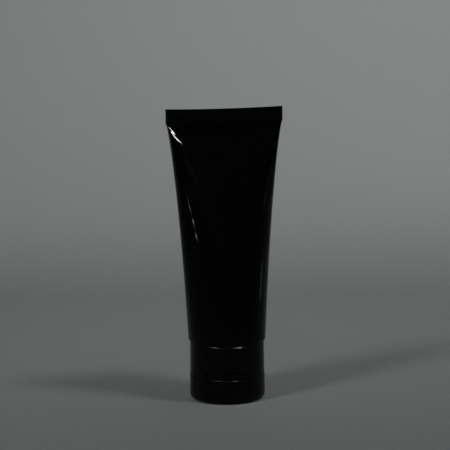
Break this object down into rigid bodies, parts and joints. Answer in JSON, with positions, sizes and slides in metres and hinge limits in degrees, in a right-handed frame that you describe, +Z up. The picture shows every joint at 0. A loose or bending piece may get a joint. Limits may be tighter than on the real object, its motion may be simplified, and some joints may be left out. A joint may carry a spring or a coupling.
{
  "type": "shaving cream tube",
  "caption": "Plain black plastic squeeze tube with a flat heat-sealed tail, standing on a screw-on flip-top cap.",
  "frame": {"origin": "centre of the lid's flat resting face, on the surface that the tube stands on", "axes": "+Z up along the tube from the lid to the seal, +X along the flat seal, -Y the front"},
  "size_m": [0.055, 0.035, 0.131],
  "materials": {
    "sleeve_black": "gloss",
    "cap_black": "satin",
    "head_black": "satin",
    "liner_white": "matte",
    "cream_white": "satin"
  },
  "bodies": {
    "closure": {"cap_base": "cap_black", "hinge_web_left": "cap_black", "hinge_web_right": "cap_black", "hinge_spring_strap": "cap_black"},
    "lid": {"flip_lid": "cap_black"},
    "liner": {"liner_ring": "liner_white"},
    "tube": {"tube_sleeve": "sleeve_black", "tube_head": "head_black", "cream_fill": "cream_white"}
  },
  "joints": [
    {"name": "lid_hinge", "type": "hinge", "parent": "closure", "child": "lid", "pos_m": [0.00727, 0.01559, 0.01107], "axis": [0.9063, -0.4226, 0], "range_deg": [0, 178], "deforming": ["hinge_web_left", "hinge_web_right", "hinge_spring_strap"]},
    {"name": "unscrew_turn", "type": "hinge", "parent": "closure", "child": "liner", "pos_m": [0, 0, 0], "axis": [0, 0, 1], "range_deg": [0, 720]},
    {"name": "unscrew_travel", "type": "slide", "parent": "liner", "child": "tube", "axis": [0, 0, 1], "range_m": [0, 0.006]}
  ],
  "couplings": [
    {"joint": "unscrew_travel", "follows": "unscrew_turn", "m_per_rad": 0.00047746}
  ]
}
